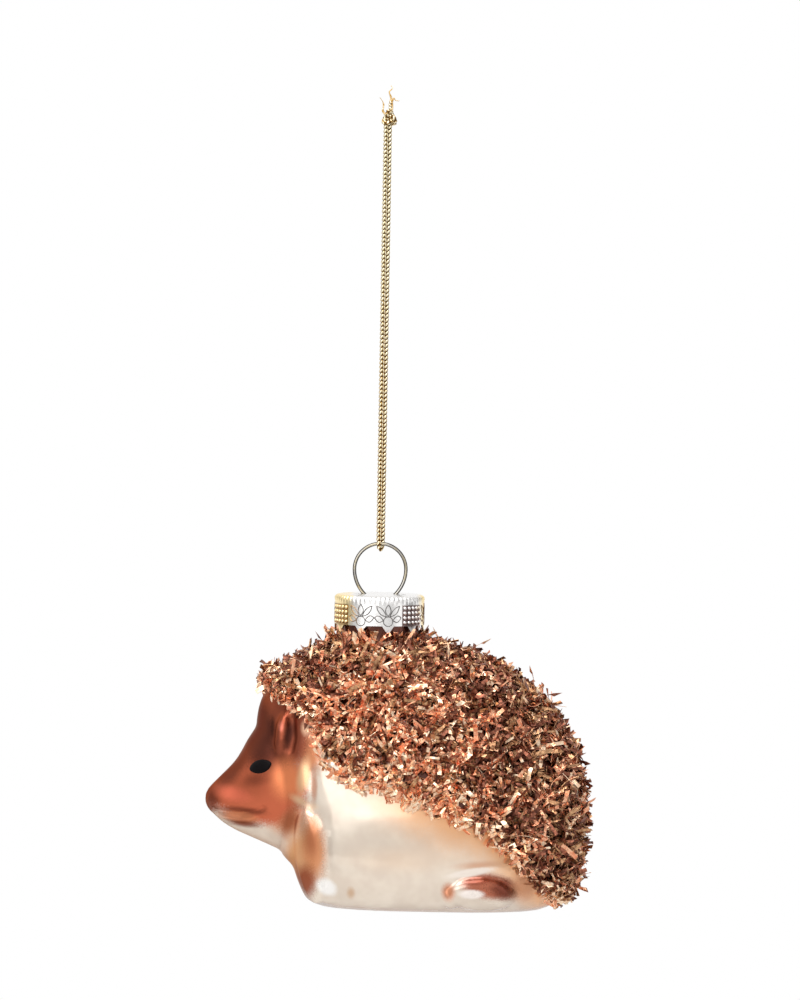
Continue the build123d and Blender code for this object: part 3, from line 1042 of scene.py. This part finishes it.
capSet = {
    "radius": 8.95,
    "top": 62.1,
    "skirt": 5.9,
    "skirtStep": 0.5,
    "lip": 0.01,  # last row of the skirt, drawn out into the points
    "corner": 0.9,
    "dome": [(0.0, 0.05), (3.0, 0.05), (6.2, 0.0), (7.2, -0.02)],  # radius, height over the top
    "topBand": 0.1,
    "sheet": 0.35,
    "points": 10,
    "pointTurn": 29.6,
    "pointWidth": 2.4,
    "pointLength": 1.75,
    "panels": "LBLLLBLLBL",  # leaves or beads over each point
    "flutes": 60,
    "fluteDepth": 0.12,
    "fluteBand": (0.45, 0.6, 7),  # depth under the top, half height, least radius
    "beadRadius": 0.42,
    "beadRows": (56.9, 57.85, 58.8, 59.75),
    "beadColumns": (-2.1, -1.05, 0.0, 1.05, 2.1),
    "panelTop": 60.4,
    "panelGap": 1,  # degrees
    "ground": 0.22,  # shade between the beads
    "line": 0.1,
    "lineShade": 0.2,
    "loop": (0.95, 57.15),  # radius and height
    "leaves": [  # outlines round the cap from the point, and height
        [(0.0, 58.2), (-0.6, 58.9), (-0.5, 59.8), (0.0, 60.5),
         (0.0, 60.5), (0.5, 59.8), (0.6, 58.9), (0.0, 58.2)],
        [(0.35, 58.1), (0.8, 59.2), (1.5, 59.9), (2.35, 60.2),
         (2.35, 60.2), (2.1, 59.2), (1.3, 58.3), (0.35, 58.1)],
        [(0.95, 57.4), (1.6, 58.2), (2.2, 58.3), (2.75, 57.9),
         (2.75, 57.9), (2.2, 57.1), (1.6, 56.9), (0.95, 57.4)],
    ],
    "slot": (3.1, 5.2, 0.96),  # inner and outer end, width
    "sharp": 40,
}


def capFinish():
    look = Finish("paleGoldStamping", {"Metallic": 1.0})
    place = look.place(baseHeight)
    x = look.axis(place, "X")
    tone = look.grain(place, 0.35, 3.0)
    worn = look.grain(place, 2.2, 3.0, 0.7)
    # a silver band across the middle, front and back: painted reflection on the pale gold plate
    wander = x + (tone - 0.5) * 3
    reflectedSilver = look.ease(wander, -6.4, -4.6) * look.ease(wander, 8.8, 7.4)
    goldAndReflection = look.mix(reflectedSilver, tint(255, 232, 178), tint(242, 240, 238))
    # painted shade in the recesses, tinted warm on the left, grey in the middle and dark red on the
    # right as painted reflection
    recessShade = look.mix(look.ease(x, -4.8, -4.0), tint(150, 112, 66), tint(84, 80, 78))
    recessShade = look.mix(look.ease(x, 4.0, 4.8), recessShade, tint(86, 40, 32))
    # painted shade from the shade attribute, broken by wear
    shadeLevel = look.shade() + (worn - 0.5) * 0.3
    look.set("Base Color", look.mix(look.ease(shadeLevel, 0.05, 0.75), recessShade, goldAndReflection))
    look.set("Roughness", 0.2 + worn * 0.16)
    look.set("Normal", look.bump(worn, 0.12, 0.15))
    return look


def beadShape():
    bm = bmesh.new()
    bmesh.ops.create_uvsphere(bm, u_segments=10, v_segments=7, radius=1.0)
    shadeRaised(bm, 0.2)
    return template("bead", bm)


def cutSlots(bm, s):
    inner, outer, wide = s["slot"]
    flat = s["top"] - s["topBand"]
    cuts = [((at, 0, 0), (1, 0, 0)) for at in (inner, outer, -inner, -outer)]
    cuts += [((0, at, 0), (0, 1, 0)) for at in (wide / 2, -wide / 2)]
    for place, facing in cuts:
        top = [face for face in bm.faces if face.calc_center_median().z > flat]
        near = list({vertex for face in top for vertex in face.verts})
        near += list({edge for face in top for edge in face.edges})
        bmesh.ops.bisect_plane(bm, geom=top + near, plane_co=place, plane_no=facing)
    inside = []
    for face in bm.faces:
        x, y, z = face.calc_center_median()
        if z > flat and inner < abs(x) < outer and abs(y) < wide / 2:
            inside.append(face)
    bmesh.ops.delete(bm, geom=inside, context="FACES")


def shapeSkirt(bm, s, skirtZ):  # points, flutes and the painted shade on the ground of the beads
    pitch = 360 / s["points"]
    halfPoint = math.degrees(s["pointWidth"] / 2 / s["radius"])
    under, half, least = s["fluteBand"]
    layer = bm.verts.layers.float.new("shade")
    for vertex in bm.verts:
        x, y, z = vertex.co
        turn = math.degrees(math.atan2(y, x))
        cell = (turn - s["pointTurn"]) / pitch
        off = abs(cell - round(cell)) * pitch
        if z < skirtZ - s["lip"] / 2:
            vertex.co.z -= s["pointLength"] * max(0.0, 1 - off / halfPoint)
        reach = math.hypot(x, y)
        rim = math.exp(-(((z - s["top"] + under) / half) ** 2)) * (reach > least)
        if rim > 0.01:
            wave = 1 + s["fluteDepth"] * rim * math.cos(math.radians(turn * s["flutes"])) / reach
            vertex.co = Vector((x * wave, y * wave, vertex.co.z))
        beads = s["panels"][round(cell) % s["points"]] == "B"
        inside = skirtZ < z < s["panelTop"] and off < pitch / 2 - s["panelGap"]
        vertex[layer] = s["ground"] if beads and inside else 1.0


def capSheet(s):
    bm = bmesh.new()
    top, radius = s["top"], s["radius"]
    skirtZ = top - s["skirt"]
    profile = [(reach, top + rise) for reach, rise in s["dome"]]
    for degrees in range(0, 91, 15):
        turn = math.radians(degrees)
        profile.append((radius - s["corner"] * (1 - math.sin(turn)),
                        top - s["corner"] * (1 - math.cos(turn))))
    profile += [(radius, z) for z in evenly(profile[-1][1], skirtZ, -s["skirtStep"])][1:]
    profile.append((radius, skirtZ - s["lip"]))
    verts = [bm.verts.new((reach, 0, z)) for reach, z in profile]
    edges = [bm.edges.new(pair) for pair in zip(verts, verts[1:])]
    bmesh.ops.spin(bm, geom=verts + edges, cent=(0, 0, 0), axis=(0, 0, 1), angle=2 * math.pi,
                   steps=360, use_merge=True)
    bmesh.ops.remove_doubles(bm, verts=bm.verts, dist=1e-4)
    shapeSkirt(bm, s, skirtZ)
    cutSlots(bm, s)
    bmesh.ops.recalc_face_normals(bm, faces=bm.faces)
    if max(bm.faces, key=lambda face: face.calc_center_median().z).normal.z < 0:
        bmesh.ops.reverse_faces(bm, faces=bm.faces)
    return modified(bm, "capSheet", [("SOLIDIFY", {"thickness": s["sheet"], "offset": -1.0})])


def onSkirt(s, off, z):  # a place on the skirt, counted from a point, and the way it faces
    out = Vector((math.cos(off / s["radius"]), math.sin(off / s["radius"]), 0))
    return out * s["radius"] + Vector((0, 0, z)), out


def beadPanel(s):
    bm = bmesh.new()
    bead = beadShape()
    up = Vector((0, 0, 1))
    for z in s["beadRows"]:
        for off in s["beadColumns"]:
            place, out = onSkirt(s, off, z)
            stamp(bm, bead, axes(up.cross(out), up, place, (s["beadRadius"],) * 3))
    return template("beadPanel", bm)


def leafPanel(s):
    bm = bmesh.new()
    radius, height = s["loop"]
    turns = evenly(0.0, 2 * math.pi, 0.25)
    strokes = [[(radius * math.cos(turn), height + radius * math.sin(turn)) for turn in turns]]
    for leaf in s["leaves"]:
        outline = smoothStroke(leaf)
        strokes.append(outline)
        if leaf[1][0] > 0:
            strokes.append([(-off, z) for off, z in outline])
    for stroke in strokes:
        places = [onSkirt(s, off, z)[0] for off, z in stroke]
        tubeAlong(bm, places, s["line"], 6, shade=s["lineShade"])
    return template("leafPanel", bm)


def makeCap(s, look):
    sheet = capSheet(s)
    shapes = {"B": beadPanel(s), "L": leafPanel(s)}
    for i, panel in enumerate(s["panels"]):
        turn = math.radians(s["pointTurn"] + i * 360 / s["points"])
        stamp(sheet, shapes[panel], Matrix.Rotation(turn, 4, "Z"))
    keepPiece("crownCap", sheet, "cap", look, ["cap"], baseHeight, s["sharp"])


makeCap(capSet, capFinish())


# wire hanger: the drawn wire of the frame, with a bright worn finish and painted shade where the wire
# faces within the plane of its ring


def wireFinish():
    look = Finish("drawnSteel", {"Metallic": 1.0})
    place = look.place()
    y = look.axis(place, "Y")
    tone = look.grain(place, 0.5, 3.0)
    lines = look.grain(place, 5.0, 2.0)
    # painted shade where the wire faces within the plane of its ring, bright where it faces front and
    # back
    bright = look.mix(look.ease(tone, 0.4, 0.6), tint(196, 193, 187), tint(182, 172, 150))
    sideShade = look.ease(abs(y) + (tone - 0.5) * 0.1, 0.3, 0.349)
    look.set("Base Color", look.mix(sideShade, tint(52, 46, 39), bright))
    look.set("Roughness", 0.06 + lines * 0.12)
    return look


bpy.data.objects["wire_hanger"].material_slots[0].material = wireFinish().owner
print("wire finish set")

# light, background and floor

lampSet = {  # place, size, watts, roll
    "topSoftbox": ((-120, -260, 520), (700, 420), 3.1, 0),
    "frontSoftbox": ((-430, -825, 250), (850, 620), 1.9, 12),
    "rightFill": ((640, -420, 60), (420, 620), 0.6, 0),
}
lampAim = (0.004, 0, -0.11)  # metres


def makeLamps(lamps, aim):
    middle = Vector(aim)
    for name, (place, size, watts, roll) in lamps.items():
        data = bpy.data.lights.new(name, "AREA")
        data.shape = "RECTANGLE"
        data.size, data.size_y = size[0] * mm, size[1] * mm
        data.energy = watts
        lamp = bpy.data.objects.new(name, data)
        lamp.location = middle + Vector(place) * mm
        facing = (middle - lamp.location).to_track_quat("-Z", "Y")
        lamp.rotation_euler = (facing @ Quaternion((0, 0, 1), math.radians(roll))).to_euler()
        scene.collection.objects.link(lamp)
    print("lamps set")


def makeWorld():
    look = Finish("whiteRoom", {"Color": grey(1.0)}, world=True)
    scene.world = look.owner
    way = look.node("ShaderNodeTexCoord", output="Generated")
    x, y, z = (look.axis(way, letter) for letter in "XYZ")
    seen, shiny, clear = (
        look.node("ShaderNodeLightPath", output=f"Is {kind} Ray")
        for kind in ("Camera", "Glossy", "Transmission")
    )
    # what shiny things reflect: dimmer below and to both ends, brighter overhead and behind
    front = 0.72 + look.ease(z, -0.05, -0.02) * 0.28 + look.ease(z, 0.35, 0.9) * 0.2
    front = front * (1 - look.ease(x, 0.25, 0.85) * 0.5 - look.ease(x, -0.45, -0.95) * 0.25)
    room = front + look.ease(y, -0.25, 0.4) * (1 - front)
    room = room * (1 - look.ease(abs(y), 0.42, 0.12) * 0.4)
    look.set("Strength", shiny * room + seen + clear + (1 - shiny - seen - clear) * 0.45)
    print("world set")


floorSet = {
    "drop": 100.0,
    "radius": 430.0,
    "middle": (8.0, 0.0),
    "fade": 60.0,  # plain middle and plain rim
    "glow": (0.55, 0.45),  # share of white in the middle, and what the rim adds
}


def makeFloor(s):
    look = Finish("paleFloor", {"Roughness": 0.8})
    place = look.place()
    flat = look.node("ShaderNodeVectorMath", {"operation": "MULTIPLY"}, {0: place, 1: (1, 1, 0)})
    away = look.node("ShaderNodeVectorMath", {"operation": "LENGTH"}, {0: flat}, "Value")
    seen = look.node("ShaderNodeLightPath", output="Is Camera Ray")
    look.set("Base Color", look.mix(look.grain(place, 0.05, 3.0), grey(0.84), grey(0.9)))
    glow = look.node("ShaderNodeEmission", None, {"Color": grey(1.0), "Strength": 1.0})
    white, more = s["glow"]
    share = seen * (white + more * look.ease(away, s["fade"], s["radius"] - s["fade"]))
    matt = Wire(look, look.shader.outputs[0])
    blend = look.node("ShaderNodeMixShader", None, {0: share, 1: matt, 2: glow})
    look.feed(look.tree.nodes["Material Output"].inputs["Surface"], blend)
    bm = bmesh.new()
    x, y = s["middle"]
    seat = Matrix.Translation((x * mm, y * mm, (baseHeight - s["drop"]) * mm))
    bmesh.ops.create_circle(bm, cap_ends=True, segments=96, radius=s["radius"] * mm, matrix=seat)
    mesh = template("floor", bm)
    mesh.materials.append(look.owner)
    floor = bpy.data.objects.new("floor", mesh)
    scene.collection.objects.link(floor)
    print("floor set")


makeLamps(lampSet, lampAim)
makeWorld()
makeFloor(floorSet)
